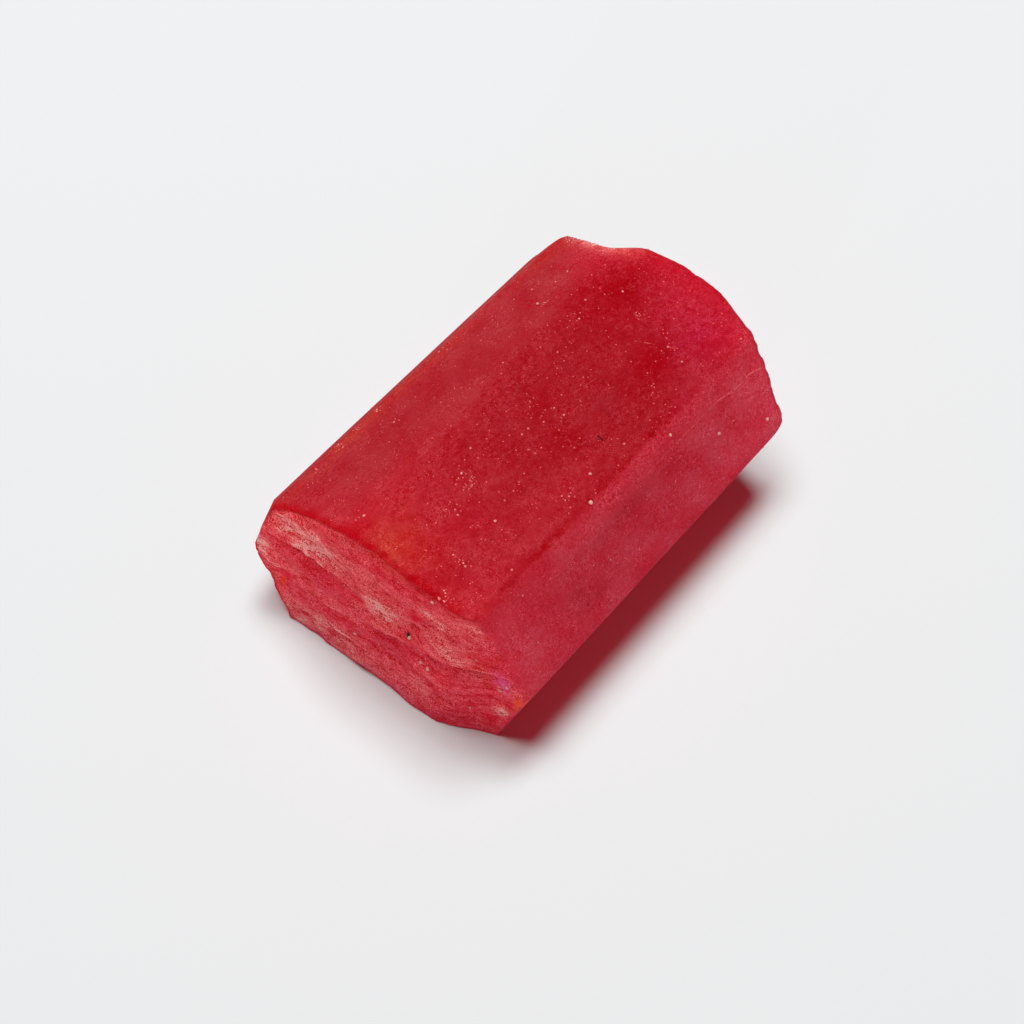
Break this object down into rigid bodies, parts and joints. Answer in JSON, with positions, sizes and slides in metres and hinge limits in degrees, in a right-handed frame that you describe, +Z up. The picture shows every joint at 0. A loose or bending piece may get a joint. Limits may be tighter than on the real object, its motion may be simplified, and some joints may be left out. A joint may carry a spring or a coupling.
{
  "type": "rough ruby crystal",
  "caption": "Rough ruby: a stout six-sided red crystal, broken across at both ends, lying on one flat side face.",
  "frame": {"origin": "middle of the stone's bounding box seen from above, on the plane of the face it rests on", "axes": "+X along the crystal's long axis towards the far break, +Y to the left seen from the near break, +Z up from the rest face"},
  "size_m": [0.046, 0.0316, 0.019],
  "materials": {
    "ruby": "waxy satin, slightly frosted on the breaks"
  },
  "bodies": {
    "root": {"ruby_crystal": "ruby"}
  },
  "joints": []
}
